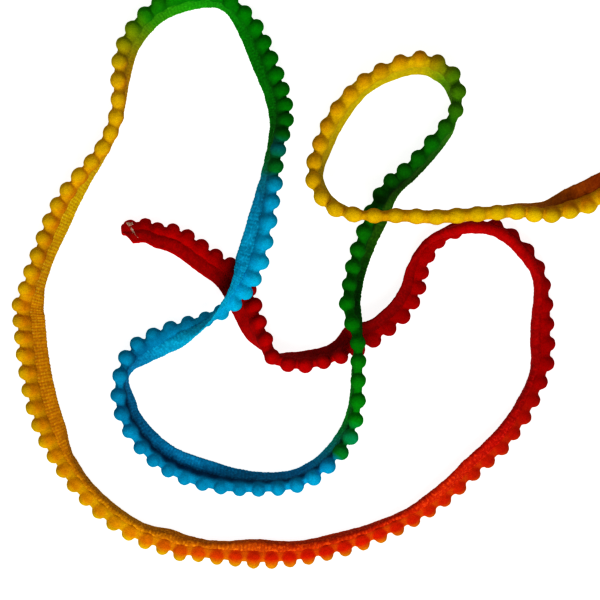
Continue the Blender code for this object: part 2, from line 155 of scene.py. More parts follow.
# How the trim leans: degrees at the root, where it folds, degrees at the edge, and how
# far to each side the fold is rounded. The angles run on past 360 at the red start.
# pompom, root_deg, fold_mm, edge_deg, rounding_mm
LEAN = (
    (0, 426, 5.5, 380, 1.2),
    (1, 420, 5.5, 380, 1.2),
    (2, 420, 5.5, 380, 1.2),
    (3, 398, 5.5, 375, 1.2),
    (6, 397, 5.5, 375, 1.2),
    (7, 382, 5.5, 365, 1.2),
    (8, 363, 5.5, 363, 1.2),
    (9, 348, 6.0, 348, 1.2),
    (10, 336, 6.0, 336, 1.2),
    (11, 323, 6.0, 323, 1.2),
    (12, 306, 6.0, 306, 1.2),
    (13, 252, 6.0, 252, 1.2),
    (14, 245, 5.0, 236, 1.2),
    (15, 246, 4.4, 220, 1.2),
    (16, 253, 4.2, 220, 1.2),
    (17, 253, 4.2, 214, 1.2),
    (17.9, 196, 5.0, 196, 1.2),
    (18.9, 138, 6.0, 136, 1.2),
    (20, 134, 7.0, 134, 1.2),
    (21, 133, 9.8, 133, 1.4),
    (22, 133, 9.8, -30, 1.6),
    (23, 134, 9.6, -30, 1.6),
    (24, 131, 8.6, -30, 1.6),
    (25, 128, 7.5, -35, 1.6),
    (26, 122, 6.5, -45, 1.6),
    (27, 112, 5.6, -55, 1.8),
    (28, 104, 5.4, -70, 2.0),
    (29, 94, 5.4, -78, 2.3),
    (30, 91, 5.4, -84, 2.3),
    (32, 92, 5.4, -88, 2.1),
    (33, 88, 5.2, -86, 2.0),
    (34, 66, 5.0, -82, 1.6),
    (35, 50, 5.6, -78, 1.2),
    (36, 42, 6.2, -74, 1.2),
    (37, 46, 5.2, -80, 1.2),
    (38, 55, 4.3, -86, 1.2),
    (39, 50, 4.3, -82, 1.2),
    (40, 56, 5.4, -82, 1.2),
    (41, 56, 6.4, -78, 1.2),
    (42, 55, 7.0, -74, 1.2),
    (43, 56, 7.4, -72, 1.2),
    (44, 60, 7.4, -72, 1.2),
    (45, 58, 7.4, -72, 1.2),
    (46, 59, 7.0, -76, 1.2),
    (47, 56, 5.6, -82, 1.2),
    (48, 55, 4.6, -86, 1.2),
    (49, 44, 4.3, -84, 1.2),
    (51, 42, 4.3, -73, 1.2),
    (52, 41, 4.3, -61, 1.2),
    (54, 38, 4.7, -69, 1.2),
    (55, 34, 5.4, -75, 1.2),
    (56, 25, 5.6, -65, 1.2),
    (57, 21, 6.0, -54, 1.2),
    (58, 34, 5.5, -79, 1.2),
    (59, 42, 4.7, -76, 1.2),
    (60, 40, 4.4, -79, 1.2),
    (61, 32, 4.7, -52, 1.2),
    (62, 36, 4.6, -49, 1.2),
    (63, 44, 4.3, -72, 1.2),
    (65, 47, 4.3, -71, 1.2),
    (67, 48, 4.3, -74, 1.2),
    (68, 47, 4.3, -76, 1.2),
    (69, 41, 4.4, -66, 1.2),
    (70, 29, 5.6, -89, 1.2),
    (71, 10, 6.2, -42, 1.2),
    (73, 0, 7.0, -22, 1.2),
    (74, -2, 7.0, -18, 1.2),
    (76, -10, 6.8, -28, 1.2),
    (79, -8, 6.6, -28, 1.2),
    (80, -39, 5.6, -60, 1.2),
    (81, -45, 5.4, -58, 1.2),
    (82, -45, 5.4, -56, 1.2),
    (84, -35, 5.8, -44, 1.2),
    (85, -39, 6.0, -44, 1.2),
    (86, -47, 6.0, -48, 1.2),
    (87, -60, 6.0, -60, 1.2),
    (88, -70, 6.0, -70, 1.2),
    (90, -80, 6.0, -80, 1.2),
    (92, -76, 6.0, -76, 1.2),
    (93, -66, 6.0, -66, 1.2),
    (94, -54, 6.0, -54, 1.2),
    (96, -51, 6.0, -51, 1.2),
    (98, -46, 6.0, -46, 1.2),
    (100, -50, 6.0, -50, 1.2),
    (102, -64, 6.0, -64, 1.2),
    (103, -55, 6.0, -55, 1.2),
    (104, -42, 6.0, -42, 1.2),
    (105, -38, 6.0, -38, 1.2),
    (107, -43, 6.0, -43, 1.2),
    (109, -45, 6.0, -45, 1.2),
    (110, -49, 6.0, -49, 1.2),
    (111, -60, 6.0, -60, 1.2),
    (112, -66, 6.0, -66, 1.2),
    (113, -62, 6.0, -62, 1.2),
    (114, -52, 6.0, -52, 1.2),
    (115, -43, 6.0, -43, 1.2),
    (116, -34, 6.0, -34, 1.2),
    (117, -22, 6.0, -18, 1.2),
    (118, -8, 6.0, 6, 1.2),
    (119, 8, 5.6, 70, 1.2),
    (120, 24, 5.0, 69, 1.2),
    (121, 44, 4.6, 90, 1.2),
    (122, 72, 6.0, 84, 1.2),
    (123, 106, 6.0, 110, 1.2),
    (124, 119, 6.0, 137, 1.2),
    (125, 140, 5.2, 216, 1.2),
    (126, 164, 5.0, 230, 1.2),
    (127, 186, 5.0, 229, 1.2),
    (128, 220, 5.5, 236, 1.2),
    (129, 264, 6.0, 264, 1.2),
    (130, 228, 6.0, 228, 1.2),
    (131, 230, 6.0, 230, 1.2),
    (132, 224, 6.0, 224, 1.2),
    (133, 217, 5.6, 214, 1.2),
    (134, 220, 5.4, 185, 1.2),
    (135, 214, 5.2, 162, 1.2),
    (136, 202, 5.0, 170, 1.2),
    (137, 205, 5.2, 176, 1.2),
    (138, 214, 5.6, 212, 1.2),
    (139, 222, 6.0, 223, 1.2),
    (140, 230, 6.0, 230, 1.2),
    (143, 233, 6.0, 233, 1.2),
    (146, 238, 6.0, 238, 1.2),
    (147, 244, 6.0, 244, 1.2),
    (148, 252, 6.0, 252, 1.2),
    (150, 258, 6.0, 258, 1.2),
    (151, 274, 6.0, 274, 1.2),
    (152, 292, 6.0, 300, 1.2),
    (153, 290, 6.2, 345, 1.2),
    (154, 289, 6.2, 353, 1.2),
    (155, 290, 6.2, 350, 1.2),
    (156, 295, 6.2, 350, 1.2),
    (157, 298, 6.0, 340, 1.2),
    (158, 320, 6.0, 320, 1.2),
    (159, 308, 6.0, 308, 1.2),
    (160, 305, 6.0, 305, 1.2),
    (161, 299, 6.0, 299, 1.2),
    (163, 298, 6.0, 298, 1.2),
    (164, 294, 6.0, 294, 1.2),
    (165, 266, 6.0, 266, 1.2),
    (166, 242, 6.0, 242, 1.2),
    (167, 232, 6.0, 232, 1.2),
    (168, 229, 6.0, 229, 1.2),
    (170, 236, 6.0, 236, 1.2),
    (172, 243, 6.0, 243, 1.2),
    (174, 237, 6.0, 237, 1.2),
    (176, 238, 6.0, 238, 1.2),
    (178, 248, 6.0, 248, 1.2),
    (180, 252, 6.0, 252, 1.2),
    (182, 268, 6.0, 268, 1.2),
    (187, 268, 6.0, 268, 1.2),
    (188, 257, 6.0, 257, 1.2),
    (189, 250, 6.0, 250, 1.2),
    (190, 246, 6.0, 246, 1.2),
    (191, 233, 6.0, 233, 1.2),
    (192, 204, 6.0, 204, 1.2),
    (193, 186, 6.0, 186, 1.2),
    (194, 184, 6.0, 184, 1.2),
)

# The roll midway between two pompoms: how far in or out its outer side runs, and how
# far it stands up and down
# pompom, across_mm from the pompoms' centre line, half_height_mm
NOTCH = (
    (0.5, -2.1, 2.1),
    (1.5, -1.3, 1.9),
    (2.5, -0.9, 1.9),
    (3.5, -0.1, 1.8),
    (5, -0.45, 1.8),
    (11, -0.45, 1.8),
    (12, -0.9, 2.5),
    (13, -0.9, 2.5),
    (14.5, -0.45, 1.8),
    (16, -0.45, 1.7),
    (17.5, 0.3, 1.2),
    (21, -0.2, 1.2),
    (23, -0.2, 1.3),
    (25.3, -0.9, 2.6),
    (26.7, -0.9, 2.6),
    (28, -0.3, 1.6),
    (29.5, 0.3, 1.0),
    (31, 0.2, 1.1),
    (32, 0.0, 1.3),
    (33.5, -0.4, 1.7),
    (34.5, -1.2, 2.2),
    (35.5, -0.45, 1.8),
    (42, -0.3, 1.6),
    (43.5, 0.25, 1.3),
    (46, 0.1, 1.4),
    (48.5, 0.0, 1.5),
    (50.5, 0.25, 1.3),
    (53.5, 0.45, 1.3),
    (55, 0.1, 1.4),
    (57, -0.3, 1.6),
    (59.5, -0.4, 1.6),
    (61.5, 0.45, 1.3),
    (63, -0.1, 1.6),
    (66, -0.4, 1.7),
    (74, -0.6, 1.9),
    (76, -0.8, 1.9),
    (84, -0.8, 1.9),
    (88, -0.6, 2.0),
    (89.5, -1.5, 2.4),
    (91.5, -1.6, 2.4),
    (93, -0.8, 2.0),
    (96, -0.9, 2.0),
    (98, -0.45, 1.9),
    (109, -0.5, 1.9),
    (110.5, -1.1, 2.2),
    (111.5, -1.1, 2.2),
    (113, -0.5, 1.8),
    (126, -0.45, 1.8),
    (128.5, 0.3, 1.4),
    (130, -0.45, 1.8),
    (135, -0.5, 1.9),
    (136, -0.9, 2.5),
    (138, -0.9, 2.5),
    (140, -0.45, 1.8),
    (142, -0.2, 1.6),
    (143.5, 0.5, 1.0),
    (146.5, 0.5, 1.0),
    (148, -0.3, 1.6),
    (152, -0.6, 2.0),
    (157, -0.7, 2.0),
    (162, -0.7, 2.0),
    (168, -0.5, 1.9),
    (171, -0.5, 2.0),
    (172.5, -0.9, 2.8),
    (174.5, -0.9, 2.8),
    (176, -0.5, 2.0),
    (182, -0.5, 1.9),
    (184, -0.9, 2.6),
    (188, -0.8, 2.5),
    (190, -0.5, 2.0),
    (192.5, -1.1, 1.9),
    (194, -1.1, 1.9),
)

# How high the trim is lifted where it passes over itself
# pompom, lift_mm
LIFT = (
    (109, 0.0),
    (119.2, 6.6),
    (120.4, 6.6),
    (125, 0.0),
    (146, 0.0),
    (150.8, 9.7),
    (156.5, 0.0),
    (176, 0.0),
    (182.3, 9.3),
    (187, 9.8),
    (193, 0.0),
)

# The dyes along the trim, as red, green, blue on a scale of 255. Some rows also hold
# painted shade and painted light: the darker red tape about pompom 20, the brighter blue
# tape about pompom 121 and the browner tape at the yellow end. Between two rows a colour
# runs evenly from one to the next.
TAPE_DYE_AND_SHADE = 1                 # columns of the table
VELVET_DYE_AND_SHADE = 2
# pompom, tape colour, velvet colour
DYES_AND_PAINTED_SHADE = (
    (0, (238, 4, 5), (234, 5, 8)),
    (9, (216, 4, 6), (208, 4, 8)),
    (15, (218, 4, 6), (212, 5, 8)),
    (20, (170, 4, 5), (196, 5, 8)),
    (28, (232, 4, 6), (206, 5, 9)),
    (38, (202, 5, 6), (194, 8, 8)),
    (42, (232, 52, 14), (228, 106, 26)),
    (46, (248, 96, 16), (234, 138, 20)),
    (50, (252, 96, 16), (242, 164, 22)),
    (55, (252, 118, 16), (244, 164, 18)),
    (60, (252, 166, 16), (250, 204, 14)),
    (65, (252, 190, 10), (250, 222, 16)),
    (70, (246, 182, 10), (244, 206, 10)),
    (79, (244, 186, 12), (240, 196, 8)),
    (86, (252, 220, 10), (246, 200, 8)),
    (93, (236, 190, 12), (240, 196, 8)),
    (95, (180, 178, 16), (190, 186, 8)),
    (97, (100, 182, 28), (74, 168, 12)),
    (100, (66, 192, 34), (22, 160, 10)),
    (103, (12, 162, 14), (14, 158, 12)),
    (106, (10, 148, 12), (12, 150, 12)),
    (109, (10, 148, 16), (12, 142, 14)),
    (111, (12, 142, 26), (12, 130, 36)),
    (111.8, (12, 142, 40), (12, 148, 150)),
    (112.6, (12, 152, 70), (12, 138, 70)),
    (113.3, (12, 160, 120), (12, 142, 66)),
    (113.7, (14, 172, 190), (12, 164, 190)),
    (115, (16, 184, 224), (10, 184, 224)),
    (121, (20, 216, 252), (14, 212, 250)),
    (124, (20, 216, 252), (10, 184, 220)),
    (128, (10, 168, 212), (8, 166, 204)),
    (131, (6, 160, 204), (8, 164, 204)),
    (140, (6, 170, 214), (10, 178, 220)),
    (143, (6, 182, 232), (12, 198, 242)),
    (144.4, (8, 200, 222), (10, 178, 222)),
    (144.8, (10, 200, 200), (14, 158, 72)),
    (145.3, (12, 198, 176), (14, 160, 80)),
    (146, (12, 190, 120), (16, 182, 126)),
    (147, (12, 176, 56), (14, 168, 40)),
    (150, (12, 124, 12), (14, 148, 12)),
    (153, (16, 124, 14), (16, 148, 14)),
    (158, (84, 128, 22), (44, 144, 16)),
    (163, (62, 136, 24), (38, 140, 14)),
    (167, (140, 192, 24), (122, 160, 12)),
    (169, (244, 220, 12), (240, 200, 8)),
    (172, (250, 228, 12), (244, 202, 8)),
    (184, (246, 204, 12), (248, 204, 8)),
    (190, (222, 152, 10), (250, 212, 8)),
    (194, (180, 100, 6), (246, 208, 8)),
)

# Painted shade where the cloth lies low: how much a colour's weaker parts fade in it, and its
# whole tone
PAINTED_SHADE_WARM = 1.3              # for dyes that are mostly red
PAINTED_SHADE_COOL = 0.3              # for the others
PAINTED_SHADE_TONE = 0.86             # for the tape

# How much redder the painted shade on the velvet runs towards the tape: pompom, times the usual
PAINTED_SHADE_REDDENING = (
    (0, 1.0),
    (40, 1.0),
    (46, 1.8),
    (50, 3.0),
    (58, 3.2),
    (64, 2.0),
    (70, 1.3),
    (75, 1.0),
    (194, 1.0),
)

# Painted shade on the velvet, mostly towards the tape: pompom, from where across and to
# where in millimetres it sets in, how much on the roll and on the pompoms, and the tone of the
# painted shade
PAINTED_SHADE_DEPTHS = (
    (0, -2.0, 1.5, 0.51, 0.85, 0.86),
    (44, -2.0, 1.5, 0.51, 0.85, 0.86),
    (50, -1.4, 1.6, 0.62, 0.95, 0.92),
    (62, -1.4, 1.6, 0.62, 0.95, 0.92),
    (70, -2.0, 1.5, 0.51, 0.85, 0.86),
    (102, -2.0, 1.5, 0.51, 0.85, 0.86),
    (106, 0.0, 2.2, 0.80, 0.70, 0.70),
    (112, 0.0, 2.0, 0.60, 0.70, 0.80),
    (114, 0.0, 2.0, 0.20, 0.60, 0.86),
    (123, 0.0, 2.0, 0.20, 0.60, 0.86),
    (126, 0.0, 2.0, 0.60, 0.70, 0.80),
    (130, 0.6, 2.2, 1.00, 0.80, 0.40),
    (141, 0.6, 2.2, 1.00, 0.80, 0.40),
    (146, 0.8, 2.4, 0.90, 0.50, 0.42),
    (158, 0.8, 2.4, 0.90, 0.50, 0.42),
    (163, -1.0, 2.0, 0.40, 0.60, 0.80),
    (164.9, -1.0, 2.0, 0.0, 0.0, 0.80),
    (165.1, 0.0, -2.6, 0.0, 0.0, 0.80),
    (168, 0.0, -2.6, 0.50, 0.75, 0.84),
    (171, 0.0, -2.6, 0.40, 0.55, 0.86),
    (176, 0.0, -2.6, 0.40, 0.55, 0.86),
    (178.9, 0.0, -2.6, 0.0, 0.0, 0.80),
    (179.1, -2.0, 1.5, 0.0, 0.0, 0.82),
    (182, -2.0, 1.5, 0.55, 0.95, 0.82),
    (194, -2.0, 1.5, 0.55, 0.95, 0.82),
)

# How the picture's darker tones are deepened: scene brightness, shown brightness
TONES = (
    (0.05, 0.0104), (0.1, 0.0357), (0.2, 0.111), (0.35, 0.255), (0.5, 0.417),
    (0.7, 0.645), (0.85, 0.821),
)

# The tape's section across its width: millimetres from the pompoms' centre line, half
# its thickness on a rib, and in the groove between two ribs. Five wales of stitches run
# along it, and the first one stands up as a rail beside the velvet.
TAPE_PROFILE = (
    (3.20, 0.34, 0.30),
    (3.70, 0.44, 0.34),
    (4.19, 0.64, 0.46),
    (4.68, 0.42, 0.33),
    (5.17, 0.52, 0.36),
    (5.66, 0.40, 0.29),
    (6.15, 0.50, 0.35),
    (6.64, 0.39, 0.28),
    (7.13, 0.50, 0.35),
    (7.62, 0.41, 0.30),
    (8.11, 0.56, 0.40),
    (8.60, 0.24, 0.19),
)
WALES = (0, 1, 1, 0, 2, 0, 2, 0, 2, 0, 2, 0)   # 1 is the rail, 2 a wale of stitches
# The crown these give paints the tape: lighter where a stitch stands high, with painted glints
# on the highest, and painted shade where it lies low
WALE_TOPS = (0.4, 1.0, 0.9)          # how much a groove, the rail and a wale catch light
RIB_WAVE = (0.0, 0.62, 1.0, 0.62)    # how far each ring of a rib stands up
SCALLOP = 0.16                       # the free side waves in and out this much
EDGE_SHIFT = 0.06                    # and this much more or less from rib to rib
STITCHES = (0.45, 1.15)              # the least and the most that one stitch stands up
TAPE_SEED = 11

# How strongly the ribs show along the trim: pompom, share
RIB_STRENGTH = (
    (0, 0.20),
    (12, 0.25),
    (18, 0.40),
    (38, 0.45),
    (43, 0.8),
    (48, 0.5),
    (68, 0.5),
    (73, 1.0),
    (88, 1.2),
    (92, 0.6),
    (98, 0.9),
    (162, 0.8),
    (167, 0.3),
    (178, 0.3),
    (190, 0.35),
    (195, 0.35),
)

# How uneven the tape's face is: how fine along and across, and pompom, millimetres
PUCKER_ALONG = 0.45
PUCKER_ACROSS = 0.5
PUCKER_SEED = 3.7
PUCKERS = (
    (0, 0.16),
    (20, 0.18),
    (27, 0.26),
    (40, 0.20),
    (48, 0.14),
    (95, 0.14),
    (104, 0.26),
    (113, 0.34),
    (124, 0.30),
    (132, 0.16),
    (194, 0.14),
)

# Painted light and shade on the tape's face: pompom, share of painted highlight flecks, how
# much painted shade falls between the stitches, and the tone of the painted shade beside the
# velvet
TAPE_PAINTED_LIGHT_AND_SHADE = (
    (0, 0.03, 0.5, 1.0),
    (16, 0.03, 0.5, 1.0),
    (20, 0.08, 1.0, 0.85),
    (25, 0.05, 0.7, 0.90),
    (36, 0.10, 1.0, 0.90),
    (42, 0.34, 1.0, 1.0),
    (50, 0.38, 1.0, 1.0),
    (58, 0.38, 0.8, 1.0),
    (64, 0.34, 0.6, 1.0),
    (72, 0.10, 1.0, 0.85),
    (84, 0.05, 1.1, 0.85),
    (88, 0.05, 1.1, 0.85),
    (96, 0.06, 0.6, 0.95),
    (100, 0.16, 1.0, 0.80),
    (110, 0.20, 1.0, 0.70),
    (114, 0.22, 0.8, 0.95),
    (127, 0.22, 0.8, 0.95),
    (130, 0.20, 1.0, 0.35),
    (141, 0.20, 1.0, 0.35),
    (147, 0.20, 1.0, 0.40),
    (160, 0.12, 1.0, 0.50),
    (166, 0.03, 0.2, 1.0),
    (178, 0.03, 0.2, 1.0),
    (186, 0.05, 0.4, 0.90),
    (194, 0.05, 0.4, 0.80),
)

# The rings of one pompom: places along the trim from its centre, as a share of the pitch
BALL_RINGS = (
    -0.46, -0.41, -0.37, -0.32, -0.26, -0.19, -0.115, -0.04,
    0.04, 0.115, 0.19, 0.26, 0.32, 0.37, 0.41, 0.46,
)
EDGE_POINTS = 30
EDGE_TURNS = [math.tau * step / EDGE_POINTS for step in range(EDGE_POINTS)]
HEART = 1.15                 # the edge's outlines are drawn around this place across
ROLL_INNER = 2.75            # from there the roll of pile reaches this far to the tape
ROLL_SHARE = 0.84            # and up and down by this share of the part's half height
ROLL_FLATNESS = 1.6          # 1 would give it a sharp edge, 2 a round one
NECK_INNER = 2.60            # the thicker pile behind each pompom, across,
NECK_OUTER = 2.00            # on its other side,
NECK_HEIGHT = 2.20           # up and down,
NECK_ALONG = 2.85            # and along the trim
NECK_SHARE = 0.5             # how far a neck follows its pompom rather than the roll
FULL_POMPOM = 0.6            # from this weight on, pile counts as the pompom's own
SIZES = (0.97, 1.03)         # how the pompoms differ in size,
SHADES = (0.93, 1.05)        # in shade,
STRAY = 0.12                 # and how many millimetres they stray across and up
PILE_ROUGH = ((0.9, 0.10), (2.1, 0.05))   # how fine the pile's unevenness is, how deep
BLEND = 8.0                  # how crisply pompoms and necks stand out of the roll
CUT_ROUNDING = ((0.30, 0.90), (0.25, 0.80), (0.12, 0.60))   # outwards in mm, and share
VELVET_SEED = 23
NOISE_SEED = 7               # without one, the pile's unevenness differs from run to run

# The undyed threads at the cut
THREAD_STEPS = 14
THREAD_TURNS = [math.tau * corner / 8 for corner in range(8)]
THREAD_TIP = 0.35            # how thin a thread is at its ends, as a share
THREAD_REST = 0.4            # how far its middle lies above the ground, as a share
THREAD_WAVER = (0.5, 0.12)   # how fast and how far a thread wavers
THREAD_DROP = 50.0           # threads are let down from this height
THREAD_SEED = 5
STRANDS = 3
STRAND_STRAY = 0.1
# A line of places (along, across) in millimetres from pompom 0, then how far apart its
# strands lie and how thick they are
THREADS = (
    (((-0.6, -1.9), (-0.2, -1.3), (0.1, -0.7)), 0.42, 0.30),
    (((0.3, -1.8), (0.5, -1.4), (0.6, -0.9)), 0.30, 0.22),
    (((-0.1, -0.9), (0.5, 0.6), (1.1, 1.7)), 0.16, 0.15),
    (((0.7, 0.9), (1.5, 2.4), (2.4, 3.5)), 0.10, 0.11),
    (((1.0, 0.4), (0.9, 1.4), (0.7, 2.0)), 0.08, 0.10),
)

# How large the pompoms are, how far out they stand from the centre line, and how long
# they are along the trim: pompom, share of the usual size, millimetres, times as long
POMPOM_SIZES = (
    (0, 1.0, 0.0, 1.0),
    (34, 1.0, 0.0, 1.0),
    (42, 0.95, 0.1, 1.0),
    (47, 0.88, 0.3, 1.0),
    (50, 0.84, 0.4, 1.0),
    (60, 0.84, 0.4, 1.0),
    (66, 0.94, 0.15, 1.0),
    (74, 0.98, 0.0, 1.0),
    (84, 1.0, 0.0, 1.0),
    (87, 1.0, 0.0, 1.16),
    (92, 1.0, 0.0, 1.16),
    (95, 1.0, 0.0, 1.0),
    (127, 1.0, 0.0, 1.0),
    (131, 0.9, 0.2, 1.0),
    (141, 0.9, 0.2, 1.0),
    (145, 1.0, 0.0, 1.0),
    (172, 1.0, 0.0, 1.0),
    (177, 1.0, 0.0, 1.14),
    (181, 1.0, 0.0, 1.22),
    (189, 1.0, 0.0, 1.22),
    (194, 1.0, 0.0, 1.1),
)


# ---- Yarn, pile and surroundings ----
# Noise patterns: how fine, and how detailed
YARN_FIBRES = (2.6, 4.0)
YARN_BLOTCHES = (0.55, 3.0)
YARN_HIGHLIGHT_FLECKS = (1.1, 2.0)
PILE_TIPS = (3200.0, 3.0)
PILE_TUFTS = (700.0, 2.0)
THREAD_STAINS = (900.0, 3.0)
THREAD_FIBRES = (5200.0, 3.0)

# Where a value's range starts and ends, and what it turns into at its start and its end
# Painted shade in the grooves, painted highlight along the stitch crowns, and painted glints on
# the highest ones
CROWN_PAINTED_SHADE = (0.0, 0.7, 0.50, 0.0)
CROWN_LIGHT = (0.0, 0.6, 0.86, 1.0)
CROWN_GLINTS = (0.72, 1.0, 0.0, 0.22)
# Painted shade on the tape beside the velvet, with its sheen taken away there, fades out over
# this range
VALLEY = (3.3, 5.2, 0.0, 1.0)        # millimetres across, from the velvet to the open tape
FIBRE_LIGHT = (0.35, 0.65, 0.90, 1.08)
BLOTCH_LIGHT = (0.3, 0.7, 0.84, 1.14)
HIGHLIGHT_FLECK_SHARE = (0.52, 0.66, 0.0, 1.0)
YARN_ROUGHNESS = (0.3, 0.7, 0.50, 0.75)
TIP_LIGHT = (0.3, 0.7, 0.80, 1.16)
TUFT_LIGHT = (0.3, 0.7, 0.90, 1.08)
PILE_ROUGHNESS = (0.3, 0.7, 0.85, 0.98)
STAIN_SHARE = (0.40, 0.62, 0.0, 1.0)
THREAD_ROUGHNESS = (0.3, 0.7, 0.60, 0.85)

# Fine bumps: how high in metres, and how strong
YARN_BUMP = (0.00008, 0.6)
PILE_BUMP = (0.00012, 0.7)
THREAD_BUMP = (0.00006, 0.6)
PLY = (1.3, 1.2)                     # the yarn's twist: how fine, how uneven
FIBRE_RELIEF = 0.5                   # how much the fibres add to the twist
TUFT_RELIEF = 1.5                    # how much the tufts add to the tips

BLACK = (0.0, 0.0, 0.0, 1.0)
WHITE = (1.0, 1.0, 1.0, 1.0)
# Painted highlights on the tape: glints turn towards this pale colour, and flecks are the
# colour made twice as bright and a little paler
PALE_HIGHLIGHT = (1.0, 0.92, 0.80, 1.0)        # undyed yarn where it catches light
UNDYED = (0.92, 0.80, 0.66, 1.0)
STAINED = (0.55, 0.10, 0.07, 1.0)
HIGHLIGHT_GAIN = (2.0, 2.0, 2.0, 1.0)        # a fleck of yarn is this much brighter than its dye
HIGHLIGHT_PALE_SHARE = 0.08                    # and by this share paler

FLOOR_HALF = 3.0                     # metres
FLOOR_DROP = 0.0002
FLOOR_GREY = (0.35, 0.35, 0.35, 1.0)
FLOOR_ROUGHNESS = 0.9
FLOOR_GLOW = 0.90
SKY_STRENGTH = 0.34
PICTURE_WIDTH = 0.2                  # metres across the picture
SENSOR = 36.0
LENS = 1000.0
NEAREST = 0.05
FARTHEST = 30.0


# ---- Reading the tables ----
def find_row(table, pompom):
    """The row at or before a place, and how far the place lies towards the next row."""
    row = 0
    while row < len(table) - 2 and pompom > table[row + 1][0]:
        row += 1
    return row, (pompom - table[row][0]) / (table[row + 1][0] - table[row][0])


def slope_at(table, row, column):
    """The table's slope at one row, weighted between its two neighbours."""
    first = max(row - 1, 0)
    last = min(row + 1, len(table) - 1)
    if first == row or last == row:
        return (table[last][column] - table[first][column]) / (table[last][0] - table[first][0])
    before = table[row][0] - table[first][0]
    after = table[last][0] - table[row][0]
    slope_before = (table[row][column] - table[first][column]) / before
    slope_after = (table[last][column] - table[row][column]) / after
    return (slope_before * after + slope_after * before) / (before + after)


def smooth(table, pompom):
    """Every column of a table at a place between its rows, on a smooth cubic."""
    row, part = find_row(table, pompom)
    span = table[row + 1][0] - table[row][0]
    values = []
    for column in range(1, len(table[row])):
        start = table[row][column]
        end = table[row + 1][column]
        start_slope = slope_at(table, row, column) * span
        end_slope = slope_at(table, row + 1, column) * span
        if part < 0.0:
            values.append(start + start_slope * part)
        elif part > 1.0:
            values.append(end + end_slope * (part - 1.0))
        else:
            values.append(
                start * (2 * part ** 3 - 3 * part ** 2 + 1)
                + start_slope * (part ** 3 - 2 * part ** 2 + part)
                + end * (3 * part ** 2 - 2 * part ** 3)
                + end_slope * (part ** 3 - part ** 2)
            )
    return values


def between(table, pompom):
    """Every column of a table at a place between its rows, in straight lines."""
    row, part = find_row(table, pompom)
    part = min(max(part, 0.0), 1.0)
    pairs = zip(table[row][1:], table[row + 1][1:])
    return [start + (end - start) * part for start, end in pairs]


def steady(table, pompom):
    """The same in straight lines with softened corners."""
    places = [between(table, pompom + shift) for shift in SOFTENING]
    return [sum(value / len(SOFTENING) for value in column) for column in zip(*places)]


def eased(table, pompom):
    """A table's value between two rows, level at each row, so humps stay rounded."""
    if pompom <= table[0][0]:
        return table[0][1]
    for (start, start_value), (end, end_value) in zip(table, table[1:]):
        if pompom <= end:
            part = (pompom - start) / (end - start)
            return start_value + (end_value - start_value) * (3 - 2 * part) * part ** 2
    return table[-1][1]


# ---- Where the trim's cross-section lies ----
def across_the_trim(lean, distance):
    """Reach, height and direction at a distance from the pompoms' centre line."""
    root_deg, fold, edge_deg, rounding = lean
    root = math.radians(root_deg)
    turn = math.radians(edge_deg - root_deg) / (2 * rounding)
    before = min(distance, fold - rounding)
    bent = min(max(distance - before, 0.0), 2 * rounding)
    beyond = max(distance - fold - rounding, 0.0)
    angle = root + turn * bent
    reach = before * math.cos(root) + beyond * math.cos(angle)
    height = before * math.sin(root) + beyond * math.sin(angle)
    if abs(turn) < LEAST_TURN:
        return reach + bent * math.cos(root), height + bent * math.sin(root), angle
    reach += (math.sin(angle) - math.sin(root)) / turn
    height += (math.cos(root) - math.cos(angle)) / turn
    return reach, height, angle


def lean_point(lean, distance, up):
    """A section point's reach and height, once the section leans."""
    reach, height, angle = across_the_trim(lean, distance)
    return reach - up * math.sin(angle), height + up * math.cos(angle)


def part_outline():
    """The outer points of the part's own section, which say how low it reaches."""
    half = TAPE_THICKNESS / 2
    step = (TAPE_END - TAPE_START) / (TAPE_COLUMNS - 1)
    points = list(EDGE_OUTLINE)
    for column in range(TAPE_COLUMNS):
        points.append((TAPE_START + step * column, half))
        points.append((TAPE_START + step * column, -half))
    return points


PART_OUTLINE = part_outline()


def travel_at(pompom):
    """The way the trim runs, seen from above, evened out over a few pompoms."""
    travel = Vector((0.0, 0.0, 0.0))
    for reach in LOOK_AHEAD:
        ahead = Vector((*smooth(ROUTE, pompom + reach), 0.0))
        behind = Vector((*smooth(ROUTE, pompom - reach), 0.0))
        travel += (ahead - behind) / reach
    return travel.normalized()


@functools.lru_cache(maxsize=None)
def section_at(pompom):
    """Where the cross-section stands at one place on the route, and how it leans."""
    x, y = smooth(ROUTE, pompom)
    lean = steady(LEAN, pompom)
    lowest = min(lean_point(lean, *point)[1] for point in PART_OUTLINE)
    base = eased(LIFT, pompom) - DIP - lowest
    return x - MIDDLE_X, y - MIDDLE_Y, travel_at(pompom), lean, base


def place_point(pompom, distance, up, along=0.0):
    """A section point in space, moved along the travel, all in millimetres."""
    x, y, travel, lean, base = section_at(pompom)
    reach, height = lean_point(lean, distance, up)
    return Vector((
        x + reach * travel.y + along * travel.x,
        y - reach * travel.x + along * travel.y,
        max(height + base, 0.0),
    ))


def cut_back(pompom, distance):
    """Where on the route a point of the tape lies, once the tape's end is cut slanting."""
    slant = CUT_SLANT * (distance - TAPE_START)
    return pompom + slant * max(1 - (pompom - FIRST_SECTION) / CUT_FADE, 0.0)


# ---- Dyes, with painted shade and light ----
def linear(value):
    """A colour on a scale of 255 as Blender's linear value."""
    share = value / 255
    if share <= 0.04045:
        return share / 12.92
    return ((share + 0.055) / 1.055) ** 2.4


def dye_and_painted_shade_at(pompom, column):
    """The colour at one place, from the tape's or the velvet's column, painted shade and light
    included.
    """
    row, part = find_row(DYES_AND_PAINTED_SHADE, pompom)
    part = min(max(part, 0.0), 1.0)
    pairs = zip(DYES_AND_PAINTED_SHADE[row][column], DYES_AND_PAINTED_SHADE[row + 1][column])
    mixed = [linear(start) * (1 - part) + linear(end) * part for start, end in pairs]
    return (*mixed, 1.0)


